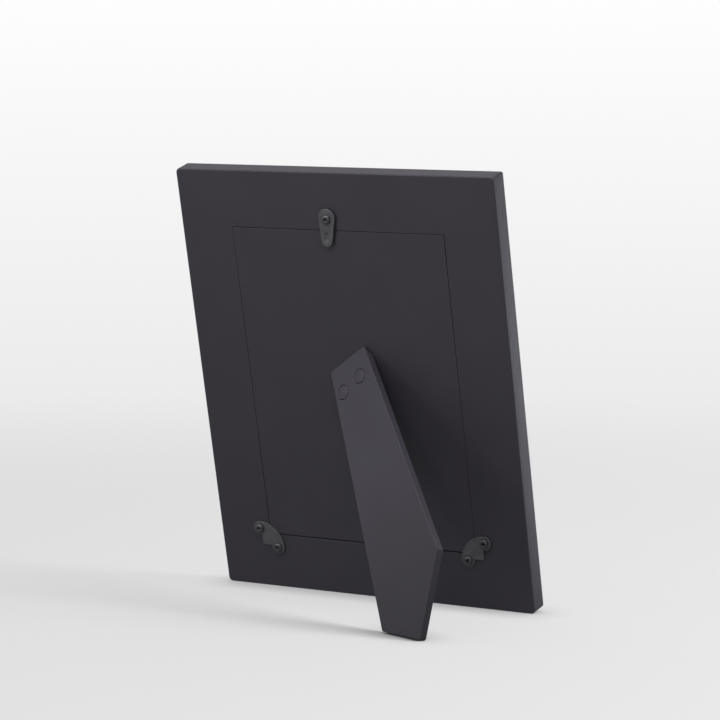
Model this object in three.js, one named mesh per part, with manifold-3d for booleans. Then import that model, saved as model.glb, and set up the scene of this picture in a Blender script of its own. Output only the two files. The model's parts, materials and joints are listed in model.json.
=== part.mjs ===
// A picture frame for a 5 x 7 inch print. It stands on a hinged leg, and a turn button and two corner
// plates hold its backing panel. All sizes are in millimetres.
//
// The pieces are drawn with the frame lying on its face: x to the right as seen from behind, y up the
// frame from its bottom edge, z out of the back, and z = 0 on the back face. The standing group then
// leans the frame on its open leg, with z up and the picture facing -y. Left and right are as seen
// from behind.

import * as THREE from "three";
import { mergeVertices } from "three/addons/utils/BufferGeometryUtils.js";
import Module from "manifold-3d";

// The print and the frame round it
const PRINT_WIDTH = 127;
const PRINT_HEIGHT = 178;
const PRINT_PLAY = 1.5; // on each side of the print in its rabbet
const RAIL_WIDTH = 32; // on the back, from the outside to the rabbet
const LIP_OVERHANG = 4.7; // of the front lip past the rabbet's wall
const FRAME_DEPTH = 12;
const ARRIS_RADIUS = 0.8; // of the rounded outside edges
const CORNER_EASE = 0.7; // by which the outside corners are rounder than the edges
const MITRE_GLUE = 0.05; // thickness of the glue in a mitre

// The sheets in the rabbet
const GLASS_THICKNESS = 2;
const INSERT_THICKNESS = 0.4;
const PANEL_THICKNESS = 3;
const SHEET_CLEARANCE = 0.4; // round the glass and the panel
const SEAT_GAP = 0.05; // between faces that rest on each other

// Nails across the mitres
const NAIL_ARM = 6;
const NAIL_THICKNESS = 0.6;
const NAIL_DEPTH = 2; // of its top below the back face
const NAIL_COVER = 3; // of wood between it and the front face
const NAIL_MARGIN = 9; // of its point from the outside edge, or from the rabbet
const NAIL_CLEARANCE = 0.15;

// The leg
const HINGE_X = 5.5; // middle of the leg on the hinge line, right of the frame's middle
const HINGE_HEIGHT = 131.5; // of the same point above the frame's bottom edge
const LEG_AIM = 4; // by which the leg's middle line passes outside the frame's lower right corner
const LEG_OPENING = 34; // degrees between the folded and the standing leg
const LEG_THICKNESS = 4.5;
const LEG_TOP_WIDTH = 28;
const LEG_FLARE = 4.7; // degrees by which each side opens out downwards
const LEG_BEVEL = 45; // degrees of the cut on the top end
const LEG_CORNER_RADIUS = 1.5;
const HEEL_GAP = 0.1; // between the open leg's heel and the panel

// The hinge under the leg
const FOLD_CLEARANCE = 0.6; // between the folded leg and the screw heads under it
const KNUCKLES = 5;
const KNUCKLE_GAP = 0.3;
const PIN_RADIUS = 0.75;
const PIN_CLEARANCE = 0.1;
const PIN_HEAD_RADIUS = 1.2;
const PIN_HEAD_THICKNESS = 0.5;
const LEAF_THICKNESS = 0.8;
const LEAF_END = 3.5; // of the leaf past a rivet's middle, along the hinge line
const LEAF_EDGE = 5.7; // of the leaf past a rivet's middle, away from the pin
const LEAF_OFFSET = -2.2; // of the hinge's middle from the leg's middle

// Rivets through the leaves
const RIVET_SPACING = 14.4;
const RIVET_SKEW = 0.9; // by which the left one sits lower, and the right one higher
const RIVET_SETBACK = 0.6; // between the hinge's barrel and the nearer rivet's tail
const RIVET_SHANK_RADIUS = 1.5;
const RIVET_TAIL_RADIUS = 2.2;
const RIVET_TAIL_THICKNESS = 0.5;
const RIVET_HEAD_THICKNESS = 0.8;
const LEG_RIVET_HEAD_RADIUS = 3.9;
const LEG_RIVET_PROUD = 0.15; // of the leg's outer face
const PANEL_RIVET_HEAD_RADIUS = 3;
const RIVET_CLEARANCE = 0.2;

// Screws for the plates and the button
const SCREW_HEAD_RADIUS = 2.6;
const SCREW_HEAD_EDGE = 0.6; // height of the head's upright edge
const SCREW_HEAD_HEIGHT = 1.6;
const SCREW_SHANK_RADIUS = 1.4;
const SCREW_LENGTH = 8; // under the head
const SCREW_TIP = 2.5; // length of the pointed end
const SCREW_CLEARANCE = 0.15;
const RECESS_WIDTH = 0.8;
const RECESS_LENGTH = 2.8;
const RECESS_DEPTH = 1.1;

// Plates across the lower corners of the panel
const PLATE_THICKNESS = 1;
const PLATE_SCREW_SPACING = 15;
const PLATE_END_RADIUS = 4;
const PLATE_BULGE = 3; // of the wide arc over the panel, past the round ends
const PLATE_WAIST = 1.2; // by which the square tab falls short of the screws' own right angle
const PLATE_TAB_RADIUS = 1.2;
const LEFT_PLATE_OUTSET = 1.8; // of the line of the screws, outside the rabbet's corner
const LEFT_PLATE_SLIP = 0.9; // of the plate along its own length
const RIGHT_PLATE_OUTSET = -1;
const RIGHT_PLATE_SLIP = 1.8;

// Turn button over the top edge of the panel
const BUTTON_X = -4.15; // from the frame's middle
const BUTTON_RISE = 6.5; // of its screw above the rabbet
const BUTTON_TILT = -5; // degrees from hanging straight down
const BUTTON_RADIUS = 4.95;
const BUTTON_TIP_RADIUS = 3.4;
const BUTTON_REACH = 12.9; // between the middles of the two round ends
const BUTTON_PIVOT = 0.8; // of the screw below the upper round end's middle
const BUTTON_THICKNESS = 1;
const BUTTON_GAP = 0.8; // above the back face
const COLLAR_RADIUS = 2.6; // of the collar under the button, which it turns on
const GROOVE_RADIUS = 1.7; // of the groove pressed into the button
const GROOVE_DROP = 8.8; // of the groove's upper round end's middle below the screw
const GROOVE_LENGTH = 2.5; // between the middles of its ends
const GROOVE_DEPTH = 0.6;

// Fineness of round shapes
const ROUND_SIDES = 24;
const ARC_STEPS = 6;
const ARRIS_STEPS = 3;
const CUT_MARGIN = 1; // by which a cutting shape stands out of what it cuts
const MERGE_DISTANCE = 1e-4; // under which two corners are one

// Sizes that follow from the ones above
const rabbetWidth = PRINT_WIDTH + 2 * PRINT_PLAY;
const rabbetHeight = PRINT_HEIGHT + 2 * PRINT_PLAY;
const frameWidth = rabbetWidth + 2 * RAIL_WIDTH;
const frameHeight = rabbetHeight + 2 * RAIL_WIDTH;
const frameMiddle = frameHeight / 2;
const insertBack = -PANEL_THICKNESS - SEAT_GAP;
const glassBack = insertBack - INSERT_THICKNESS - SEAT_GAP;
const rabbetFloor = glassBack - GLASS_THICKNESS - SEAT_GAP;

// The hinge line is square to the leg's middle line, which runs past the frame's lower right corner.
const slant = Math.atan2(frameWidth / 2 + LEG_AIM - HINGE_X, HINGE_HEIGHT);
const opening = THREE.MathUtils.degToRad(LEG_OPENING);
const bevel = THREE.MathUtils.degToRad(LEG_BEVEL);
const flare = THREE.MathUtils.degToRad(LEG_FLARE);

// The pin runs midway between the panel and the folded leg's inner face, which clears the screw heads.
// A foot that lines up with the frame's bottom edge when folded then lies flat on the table when the
// leg is open, and the frame leans by this angle.
const plateSeat = SEAT_GAP + PLATE_THICKNESS + SEAT_GAP;
const pinHeight = (plateSeat + SCREW_HEAD_HEIGHT + FOLD_CLEARANCE) / 2;
const lean = Math.atan(Math.cos(slant) * Math.tan(opening / 2));
// The rounded bottom edge stands a little inside a sharp one, and the foot with it.
const footRise = (ARRIS_RADIUS * (Math.cos(lean) + Math.sin(lean) - 1)) / Math.cos(lean);
// The leg reaches past the pin until its inner edge meets the panel, which is its stop.
const heel = (pinHeight * (1 + Math.cos(opening)) - HEEL_GAP) / Math.sin(opening);
const legInner = pinHeight;
const legOuter = legInner + LEG_THICKNESS;
const legTop = heel + LEG_THICKNESS * Math.tan(bevel);

// The hinge's barrel lies between the panel and the folded leg, and its rivets clear the barrel.
const barrelRadius = pinHeight - SEAT_GAP;
const rivetDrop = barrelRadius + RIVET_SETBACK + RIVET_SKEW + RIVET_TAIL_RADIUS;
const leafLength = RIVET_SPACING + 2 * LEAF_END;
const leafReach = rivetDrop + LEAF_EDGE;
const leafStart = LEAF_OFFSET - leafLength / 2;
const RIVETS = [
  { side: "left", x: LEAF_OFFSET - RIVET_SPACING / 2, y: -rivetDrop - RIVET_SKEW },
  { side: "right", x: LEAF_OFFSET + RIVET_SPACING / 2, y: -rivetDrop + RIVET_SKEW },
];

const wasm = await Module();
wasm.setup();

// Colours and finishes
const finish = (color, roughness, metalness) => ({ color, roughness, metalness });
const BLACK_PAINT = finish(0x2c2b2e, 0.6, 0);
const LEG_PAINT = finish(0x343336, 0.6, 0);
const BLACK_STEEL = finish(0x303033, 0.45, 0.6);
const DARK_SCREW = finish(0x1c1c1e, 0.3, 0.8);
const BARE_STEEL = finish(0x9a9a9e, 0.35, 1);
const GLASS = finish(0xe6eef0, 0.05, 0);
const PAPER = finish(0xf2f0ea, 0.9, 0);

// A closed geometry as a solid for joining and cutting
function solidOf(geometry) {
  const bare = geometry.clone();
  bare.deleteAttribute("normal");
  bare.deleteAttribute("uv");
  const merged = mergeVertices(bare, MERGE_DISTANCE);
  return new wasm.Manifold(
    new wasm.Mesh({
      numProp: 3,
      vertProperties: merged.attributes.position.array,
      triVerts: new Uint32Array(merged.index.array),
    }),
  );
}

function geometryOf(solid) {
  const mesh = solid.getMesh();
  const geometry = new THREE.BufferGeometry();
  geometry.setAttribute("position", new THREE.BufferAttribute(mesh.vertProperties, 3));
  geometry.setIndex(new THREE.BufferAttribute(mesh.triVerts, 1));
  const faceted = geometry.toNonIndexed();
  faceted.computeVertexNormals();
  return faceted;
}

function piece(name, solid, look) {
  const mesh = new THREE.Mesh(geometryOf(solid), new THREE.MeshStandardMaterial(look));
  mesh.name = name;
  return mesh;
}

// A box between two corners
function box(x0, x1, y0, y1, z0, z1) {
  const geometry = new THREE.BoxGeometry(x1 - x0, y1 - y0, z1 - z0);
  geometry.translate((x0 + x1) / 2, (y0 + y1) / 2, (z0 + z1) / 2);
  return solidOf(geometry);
}

// A flat shape made thick, from z0 to z1
function slab(shape, z0, z1) {
  const geometry = new THREE.ExtrudeGeometry(shape, {
    depth: z1 - z0,
    bevelEnabled: false,
    curveSegments: ARC_STEPS,
  });
  geometry.translate(0, 0, z0);
  return solidOf(geometry);
}

// A round rod along z
function rod(radius, x, y, z0, z1) {
  const geometry = new THREE.CylinderGeometry(radius, radius, z1 - z0, ROUND_SIDES);
  geometry.rotateX(Math.PI / 2);
  geometry.translate(x, y, (z0 + z1) / 2);
  return solidOf(geometry);
}

// A round rod along x, about the x axis
function bar(radius, x0, x1) {
  const geometry = new THREE.CylinderGeometry(radius, radius, x1 - x0, ROUND_SIDES);
  geometry.rotateZ(Math.PI / 2);
  geometry.translate((x0 + x1) / 2, 0, 0);
  return solidOf(geometry);
}

// A turned piece about the z axis, from [radius, z] points listed upwards
function turned(profile) {
  const points = profile.map(([radius, z]) => new THREE.Vector2(radius, z));
  const geometry = new THREE.LatheGeometry(points, ROUND_SIDES);
  geometry.rotateX(Math.PI / 2);
  return solidOf(geometry);
}

function joined(solids) {
  return solids.reduce((whole, next) => whole.add(next));
}

function cut(solid, cutters) {
  return cutters.reduce((left, next) => left.subtract(next), solid);
}

// A convex outline, listed anticlockwise, with each corner rounded
function roundedOutline(corners, radius) {
  const shape = new THREE.Shape();
  corners.forEach((corner, i) => {
    const before = corners.at(i - 1).clone().sub(corner).normalize();
    const after = corners[(i + 1) % corners.length].clone().sub(corner).normalize();
    const half = Math.acos(before.dot(after)) / 2;
    const inward = before.clone().add(after).normalize();
    const centre = corner.clone().addScaledVector(inward, radius / Math.sin(half));
    const middle = inward.negate().angle();
    const sweep = Math.PI / 2 - half;
    shape.absarc(centre.x, centre.y, radius, middle - sweep, middle + sweep);
  });
  shape.closePath();
  return shape;
}

// Two round ends joined by straight sides, one end at the origin and the other below it
function teardrop(radius, tipRadius, reach) {
  const shape = new THREE.Shape();
  const taper = Math.asin((radius - tipRadius) / reach);
  shape.absarc(0, 0, radius, -taper, Math.PI + taper);
  shape.absarc(0, -reach, tipRadius, Math.PI + taper, 2 * Math.PI - taper);
  shape.closePath();
  return shape;
}

function roundHole(x, y, radius) {
  const hole = new THREE.Path();
  hole.absarc(x, y, radius, 0, 2 * Math.PI);
  return hole;
}

// Where a line from p along d meets a line from q along e
function meeting(p, d, q, e) {
  const along = q.clone().sub(p).cross(e) / d.cross(e);
  return p.clone().addScaledVector(d, along);
}

// A point of the hinge's own plan, with x along the hinge line and y up the leg, in the frame's plan
function fromHinge(x, y) {
  const origin = new THREE.Vector2();
  return new THREE.Vector2(x, y).rotateAround(origin, slant).add(new THREE.Vector2(HINGE_X, HINGE_HEIGHT));
}

// A point of the frame's plan in the hinge's own plan
function toHinge(x, y) {
  const origin = new THREE.Vector2();
  return new THREE.Vector2(x - HINGE_X, y - HINGE_HEIGHT).rotateAround(origin, -slant);
}

// The two lower corner plates: where each is, and how it is turned
const PLATES = [
  { side: "left", sign: -1, outset: LEFT_PLATE_OUTSET, slip: LEFT_PLATE_SLIP },
  { side: "right", sign: 1, outset: RIGHT_PLATE_OUTSET, slip: RIGHT_PLATE_SLIP },
].map(({ side, sign, outset, slip }) => {
  const turn = (sign * Math.PI) / 4;
  const corner = new THREE.Vector2((sign * rabbetWidth) / 2, RAIL_WIDTH);
  const along = new THREE.Vector2(Math.cos(turn), Math.sin(turn));
  const outward = new THREE.Vector2(along.y, -along.x);
  const centre = corner.addScaledVector(along, slip).addScaledVector(outward, outset);
  return { side, turn, along, centre };
});

// Screw places in the frame's plan, with the height of the seat under the head
const buttonScrew = {
  name: "turn_button_screw",
  at: new THREE.Vector2(BUTTON_X, frameHeight - RAIL_WIDTH + BUTTON_RISE),
  seat: BUTTON_GAP + BUTTON_THICKNESS + SEAT_GAP,
};
const plateScrews = PLATES.flatMap(({ side, along, centre }) =>
  [-1, 1].map((end) => {
    const at = centre.clone().addScaledVector(along, (end * PLATE_SCREW_SPACING) / 2);
    const height = at.y > centre.y ? "upper" : "lower";
    const name = `corner_plate_${side}_screw_${height}`;
    return { name, at, seat: plateSeat };
  }),
);
const SCREWS = [buttonScrew, ...plateScrews];

// The four sides, each from the corner where it starts and turned to run along its own edge
const SIDES = [
  { side: "bottom", x: -frameWidth / 2, y: 0, turns: 0, length: frameWidth },
  { side: "right", x: frameWidth / 2, y: 0, turns: 1, length: frameHeight },
  { side: "top", x: frameWidth / 2, y: frameHeight, turns: 2, length: frameWidth },
  { side: "left", x: -frameWidth / 2, y: frameHeight, turns: 3, length: frameHeight },
];

// The nails of the corner where each side ends, with their points towards the outside
const NAILS = SIDES.flatMap(({ side, turns }, i) => {
  const next = SIDES[(i + 1) % SIDES.length];
  const inward = new THREE.Vector2(-1, 1).rotateAround(new THREE.Vector2(), (turns * Math.PI) / 2);
  const vertical = turns % 2 ? next.side : side;
  const lateral = turns % 2 ? side : next.side;
  return [
    ["outer", NAIL_MARGIN],
    ["inner", RAIL_WIDTH - NAIL_MARGIN],
  ].map(([place, inset]) => ({
    name: `mitre_nail_${vertical}_${lateral}_${place}`,
    at: new THREE.Vector2(next.x, next.y).addScaledVector(inward, inset),
    turn: (turns * Math.PI) / 2,
  }));
});

// A bent steel strip: its point at the origin, one arm along -x and one along +y
function nail(clearance) {
  const half = NAIL_THICKNESS / 2 + clearance;
  const reach = NAIL_ARM + clearance;
  const shape = new THREE.Shape();
  shape.moveTo(half, -half);
  shape.lineTo(half, reach);
  shape.lineTo(-half, reach);
  shape.lineTo(-half, half);
  shape.lineTo(-reach, half);
  shape.lineTo(-reach, -half);
  shape.closePath();
  return slab(shape, NAIL_COVER - FRAME_DEPTH - clearance, clearance - NAIL_DEPTH);
}

// The whole frame before it is divided into rails: a board with rounded edges, cut out for the sheets
function frameRing() {
  const right = frameWidth / 2;
  const corners = [
    new THREE.Vector2(-right, 0),
    new THREE.Vector2(right, 0),
    new THREE.Vector2(right, frameHeight),
    new THREE.Vector2(-right, frameHeight),
  ];
  const board = new THREE.ExtrudeGeometry(roundedOutline(corners, ARRIS_RADIUS + CORNER_EASE), {
    depth: FRAME_DEPTH - 2 * ARRIS_RADIUS,
    bevelSize: ARRIS_RADIUS,
    bevelOffset: -ARRIS_RADIUS,
    bevelThickness: ARRIS_RADIUS,
    bevelSegments: ARRIS_STEPS,
    curveSegments: ARC_STEPS / 2,
  });
  board.translate(0, 0, ARRIS_RADIUS - FRAME_DEPTH);
  const low = RAIL_WIDTH;
  const high = frameHeight - RAIL_WIDTH;
  const wall = rabbetWidth / 2;
  const sight = wall - LIP_OVERHANG;
  return cut(solidOf(board), [
    box(-wall, wall, low, high, rabbetFloor, CUT_MARGIN),
    box(-sight, sight, low + LIP_OVERHANG, high - LIP_OVERHANG, -FRAME_DEPTH - CUT_MARGIN, CUT_MARGIN),
  ]);
}

// The part of the ring that one rail takes, between its two mitres
function mitredSpace(length) {
  const edge = MITRE_GLUE / Math.SQRT2;
  const depth = RAIL_WIDTH + LIP_OVERHANG + CUT_MARGIN;
  const shape = new THREE.Shape();
  shape.moveTo(edge - CUT_MARGIN, -CUT_MARGIN);
  shape.lineTo(length - edge + CUT_MARGIN, -CUT_MARGIN);
  shape.lineTo(length - edge - depth, depth);
  shape.lineTo(edge + depth, depth);
  shape.closePath();
  return slab(shape, -FRAME_DEPTH - CUT_MARGIN, CUT_MARGIN);
}

function turnedTo(solid, turn, at) {
  return solid.rotate([0, 0, THREE.MathUtils.radToDeg(turn)]).translate([at.x, at.y, 0]);
}

function rails() {
  const ring = frameRing();
  const holes = SCREWS.map(({ at, seat }) =>
    rod(SCREW_SHANK_RADIUS + SCREW_CLEARANCE, at.x, at.y, seat - SCREW_LENGTH - SEAT_GAP, CUT_MARGIN),
  );
  const slots = NAILS.map(({ at, turn }) => turnedTo(nail(NAIL_CLEARANCE), turn, at));
  const drilled = cut(ring, [...holes, ...slots]);
  return SIDES.map(({ side, x, y, turns, length }) => {
    const space = turnedTo(mitredSpace(length), (turns * Math.PI) / 2, { x, y });
    return piece(`rail_${side}`, drilled.intersect(space), BLACK_PAINT);
  });
}

function nails() {
  return NAILS.map(({ name, at, turn }) => {
    const strip = piece(name, nail(0), BARE_STEEL);
    strip.position.set(at.x, at.y, 0);
    strip.rotation.z = turn;
    return strip;
  });
}

// A sheet centred in the rabbet, with its back face at the given height
function sheet(width, height, back, thickness) {
  const low = frameMiddle - height / 2;
  return box(-width / 2, width / 2, low, low + height, back - thickness, back);
}

function sheets() {
  const width = rabbetWidth - 2 * SHEET_CLEARANCE;
  const height = rabbetHeight - 2 * SHEET_CLEARANCE;
  const rivetHoles = RIVETS.flatMap(({ x, y }) => {
    const at = fromHinge(x, y);
    const front = -PANEL_THICKNESS;
    const headSeat = front + RIVET_HEAD_THICKNESS + SEAT_GAP;
    return [
      rod(RIVET_SHANK_RADIUS + RIVET_CLEARANCE, at.x, at.y, front - CUT_MARGIN, CUT_MARGIN),
      rod(PANEL_RIVET_HEAD_RADIUS + RIVET_CLEARANCE, at.x, at.y, front - CUT_MARGIN, headSeat),
    ];
  });
  const panel = cut(sheet(width, height, 0, PANEL_THICKNESS), rivetHoles);
  return [
    piece("glazing", sheet(width, height, glassBack, GLASS_THICKNESS), GLASS),
    piece("print_insert", sheet(PRINT_WIDTH, PRINT_HEIGHT, insertBack, INSERT_THICKNESS), PAPER),
    piece("backing_panel", panel, BLACK_PAINT),
  ];
}

// A pan-head screw with a cross recess, the underside of its head at z = 0
function screw() {
  const crown = SCREW_HEAD_HEIGHT - SCREW_HEAD_EDGE;
  const dome = new THREE.EllipseCurve(0, SCREW_HEAD_EDGE, SCREW_HEAD_RADIUS, crown, 0, Math.PI / 2);
  const body = turned([
    [0, -SCREW_LENGTH],
    [SCREW_SHANK_RADIUS, SCREW_TIP - SCREW_LENGTH],
    [SCREW_SHANK_RADIUS, 0],
    [SCREW_HEAD_RADIUS, 0],
    ...dome.getPoints(ARC_STEPS).map((point) => point.toArray()),
  ]);
  const half = RECESS_WIDTH / 2;
  const reach = RECESS_LENGTH / 2;
  const floor = SCREW_HEAD_HEIGHT - RECESS_DEPTH;
  const top = SCREW_HEAD_HEIGHT + CUT_MARGIN;
  const across = box(-reach, reach, -half, half, floor, top);
  const along = box(-half, half, -reach, reach, floor, top);
  return cut(body, [across, along]);
}

function screws() {
  return SCREWS.map(({ name, at, seat }) => {
    const mesh = piece(name, screw(), DARK_SCREW);
    mesh.position.set(at.x, at.y, seat);
    return mesh;
  });
}

// A plate with a round end about each screw, a wide arc over the panel and a square tab over the frame
function plateOutline() {
  const reach = PLATE_SCREW_SPACING / 2;
  const end = PLATE_END_RADIUS;
  // The wide arc touches both round ends from outside.
  const bulge = end + PLATE_BULGE;
  const arc = (reach ** 2 + bulge ** 2 - end ** 2) / (2 * PLATE_BULGE);
  const arcCentre = bulge - arc;
  const touch = Math.atan2(-arcCentre, reach);
  // The tab's straight sides, at 45 degrees to the screws' line, run into the round ends here.
  const notch = (5 * Math.PI) / 4 - Math.asin(PLATE_WAIST / Math.SQRT2 / end);
  const shape = new THREE.Shape();
  const tabCentre = PLATE_TAB_RADIUS * Math.SQRT2 + PLATE_WAIST - reach;
  shape.absarc(0, tabCentre, PLATE_TAB_RADIUS, (-3 * Math.PI) / 4, -Math.PI / 4);
  shape.absarc(reach, 0, end, notch - 2 * Math.PI, touch);
  shape.absarc(0, arcCentre, arc, touch, Math.PI - touch);
  shape.absarc(-reach, 0, end, Math.PI - touch, 3 * Math.PI - notch);
  shape.closePath();
  shape.holes = [-reach, reach].map((x) => roundHole(x, 0, SCREW_SHANK_RADIUS + SCREW_CLEARANCE));
  return shape;
}

function plates() {
  return PLATES.map(({ side, turn, centre }) => {
    const mesh = piece(`corner_plate_${side}`, slab(plateOutline(), 0, PLATE_THICKNESS), BLACK_STEEL);
    mesh.position.set(centre.x, centre.y, SEAT_GAP);
    mesh.rotation.z = turn;
    return mesh;
  });
}

// A stamped teardrop that turns about its screw, with a groove pressed into it that bulges underneath
function turnButton() {
  const outline = teardrop(BUTTON_RADIUS, BUTTON_TIP_RADIUS, BUTTON_REACH);
  const plate = slab(outline, 0, BUTTON_THICKNESS).translate([0, BUTTON_PIVOT, 0]);
  const collar = rod(COLLAR_RADIUS, 0, 0, SEAT_GAP - BUTTON_GAP, BUTTON_THICKNESS);
  const grooveOutline = teardrop(GROOVE_RADIUS, GROOVE_RADIUS, GROOVE_LENGTH);
  const bulge = slab(grooveOutline, -GROOVE_DEPTH, BUTTON_THICKNESS).translate([0, -GROOVE_DROP, 0]);
  const groove = bulge.translate([0, 0, BUTTON_THICKNESS]);
  const hole = rod(SCREW_SHANK_RADIUS + SCREW_CLEARANCE, 0, 0, -BUTTON_GAP, BUTTON_THICKNESS + CUT_MARGIN);
  const pressed = cut(joined([plate, collar, bulge]), [groove, hole]);
  const mesh = piece("turn_button", pressed, BLACK_STEEL);
  mesh.position.set(buttonScrew.at.x, buttonScrew.at.y, BUTTON_GAP);
  mesh.rotation.z = THREE.MathUtils.degToRad(BUTTON_TILT);
  return mesh;
}

// A hinge leaf lying at the top of the barrel, with every second knuckle, starting with the given one
function hingeLeaf(first) {
  const pitch = leafLength / KNUCKLES;
  const under = barrelRadius - LEAF_THICKNESS;
  const neck = -barrelRadius - KNUCKLE_GAP;
  const solids = [box(leafStart, leafStart + leafLength, -leafReach, neck, under, barrelRadius)];
  for (let i = first; i < KNUCKLES; i += 2) {
    const left = leafStart + i * pitch + KNUCKLE_GAP / 2;
    const right = left + pitch - KNUCKLE_GAP;
    solids.push(box(left, right, neck, 0, under, barrelRadius), bar(barrelRadius, left, right));
  }
  const holes = RIVETS.map(({ x, y }) =>
    rod(RIVET_SHANK_RADIUS + RIVET_CLEARANCE, x, y, 0, barrelRadius + CUT_MARGIN),
  );
  const bore = bar(PIN_RADIUS + PIN_CLEARANCE, leafStart - CUT_MARGIN, leafStart + leafLength + CUT_MARGIN);
  return cut(joined(solids), [bore, ...holes]);
}

// A pin with a head at each end of the barrel
function hingePin() {
  const leafEnd = leafStart + leafLength;
  return joined([
    bar(PIN_RADIUS, leafStart - PIN_HEAD_THICKNESS, leafEnd + PIN_HEAD_THICKNESS),
    bar(PIN_HEAD_RADIUS, leafStart - PIN_HEAD_THICKNESS, leafStart),
    bar(PIN_HEAD_RADIUS, leafEnd, leafEnd + PIN_HEAD_THICKNESS),
  ]);
}

// A rivet with its tail at the bottom, and its shank from there to the top of its head
function rivet(headRadius, length) {
  return turned([
    [0, -RIVET_TAIL_THICKNESS],
    [RIVET_TAIL_RADIUS, -RIVET_TAIL_THICKNESS],
    [RIVET_TAIL_RADIUS, 0],
    [RIVET_SHANK_RADIUS, 0],
    [RIVET_SHANK_RADIUS, length - RIVET_HEAD_THICKNESS],
    [headRadius, length - RIVET_HEAD_THICKNESS],
    [headRadius, length],
    [0, length],
  ]);
}

// The leg, with x along the hinge line, y up the leg and z out of its outer face, all from the pin
function legOutline() {
  const half = LEG_TOP_WIDTH / 2;
  const topLeft = new THREE.Vector2(-half, legTop);
  const topRight = new THREE.Vector2(half, legTop);
  const leftSide = new THREE.Vector2(-Math.sin(flare), -Math.cos(flare));
  const rightSide = new THREE.Vector2(Math.sin(flare), -Math.cos(flare));
  // Folded, the foot lies along the frame's bottom edge and the short side along its right edge.
  const footCorner = toHinge(frameWidth / 2, footRise);
  const footEdge = new THREE.Vector2(Math.cos(slant), -Math.sin(slant));
  const shortSide = new THREE.Vector2(Math.sin(slant), Math.cos(slant));
  const footLeft = meeting(topLeft, leftSide, footCorner, footEdge);
  const widest = meeting(topRight, rightSide, footCorner, shortSide);
  return roundedOutline([topLeft, footLeft, footCorner, widest, topRight], LEG_CORNER_RADIUS);
}

// What the sloping cut takes off the leg's top end
function bevelWaste() {
  const slope = Math.tan(bevel);
  const shape = new THREE.Shape();
  shape.moveTo(heel - CUT_MARGIN * slope, legInner - CUT_MARGIN);
  shape.lineTo(legTop + CUT_MARGIN * slope, legInner - CUT_MARGIN);
  shape.lineTo(legTop + CUT_MARGIN * slope, legOuter + CUT_MARGIN);
  shape.closePath();
  const geometry = new THREE.ExtrudeGeometry(shape, { depth: 2 * LEG_TOP_WIDTH, bevelEnabled: false });
  geometry.translate(0, 0, -LEG_TOP_WIDTH);
  geometry.rotateX(Math.PI / 2);
  geometry.rotateZ(Math.PI / 2);
  return solidOf(geometry);
}

function leg() {
  const headSeat = legOuter + LEG_RIVET_PROUD - RIVET_HEAD_THICKNESS - SEAT_GAP;
  const holes = RIVETS.flatMap(({ x, y }) => [
    rod(RIVET_SHANK_RADIUS + RIVET_CLEARANCE, x, y, 0, legOuter + CUT_MARGIN),
    rod(LEG_RIVET_HEAD_RADIUS + RIVET_CLEARANCE, x, y, headSeat, legOuter + CUT_MARGIN),
  ]);
  return cut(slab(legOutline(), legInner, legOuter), [bevelWaste(), ...holes]);
}

// What swings with the leg
function legAssembly() {
  const group = new THREE.Group();
  group.add(piece("easel_leg", leg(), LEG_PAINT));
  group.add(piece("hinge_leaf_on_leg", hingeLeaf(1), BARE_STEEL));
  const tail = barrelRadius - LEAF_THICKNESS - SEAT_GAP;
  const length = legOuter + LEG_RIVET_PROUD - tail;
  RIVETS.forEach(({ side, x, y }) => {
    const mesh = piece(`leg_rivet_${side}`, rivet(LEG_RIVET_HEAD_RADIUS, length), LEG_PAINT);
    mesh.position.set(x, y, tail);
    group.add(mesh);
  });
  group.rotation.x = -opening;
  return group;
}

// The hinge on the panel, about the pin, with the leg on it
function hinge() {
  const group = new THREE.Group();
  const leaf = hingeLeaf(0).mirror([0, 0, 1]);
  group.add(piece("hinge_leaf_on_panel", leaf, BARE_STEEL));
  group.add(piece("hinge_pin", hingePin(), BARE_STEEL));
  const tail = LEAF_THICKNESS - barrelRadius + SEAT_GAP;
  const length = tail + pinHeight + PANEL_THICKNESS;
  RIVETS.forEach(({ side, x, y }) => {
    const mesh = piece(`panel_rivet_${side}`, rivet(PANEL_RIVET_HEAD_RADIUS, length), BARE_STEEL);
    mesh.rotation.x = Math.PI;
    mesh.position.set(x, y, tail);
    group.add(mesh);
  });
  group.add(legAssembly());
  group.rotation.z = slant;
  group.position.set(HINGE_X, HINGE_HEIGHT, pinHeight);
  return group;
}

// The frame leaning on its leg
const standing = new THREE.Group();
standing.add(...rails(), ...nails(), ...sheets(), ...plates(), ...screws(), turnButton(), hinge());
standing.quaternion.setFromRotationMatrix(
  new THREE.Matrix4().makeBasis(
    new THREE.Vector3(-1, 0, 0),
    new THREE.Vector3(0, Math.sin(lean), Math.cos(lean)),
    new THREE.Vector3(0, Math.cos(lean), -Math.sin(lean)),
  ),
);

// The origin is on the table, under the middle of the part.
const extent = new THREE.Box3().setFromObject(standing, true);
const middle = extent.getCenter(new THREE.Vector3());
standing.position.set(-middle.x, -middle.y, -extent.min.z);

const pictureFrame = new THREE.Group();
pictureFrame.add(standing);

export default pictureFrame;
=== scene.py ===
"""A black picture frame standing on its hinged leg, seen from behind on a pale studio floor.

The pieces are drawn with the frame lying on its face: x to the right as seen from behind, y up the
frame from its bottom edge and z out of the back, with z = 0 on the back face. One matrix then stands
them up. Left and right are as seen from behind. Blender works in metres, and sizes here are in
millimetres times MM. A place that the solids already have is read from them.
"""

import json
import math

import bmesh
import bpy
from mathutils import Matrix, Vector


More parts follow.
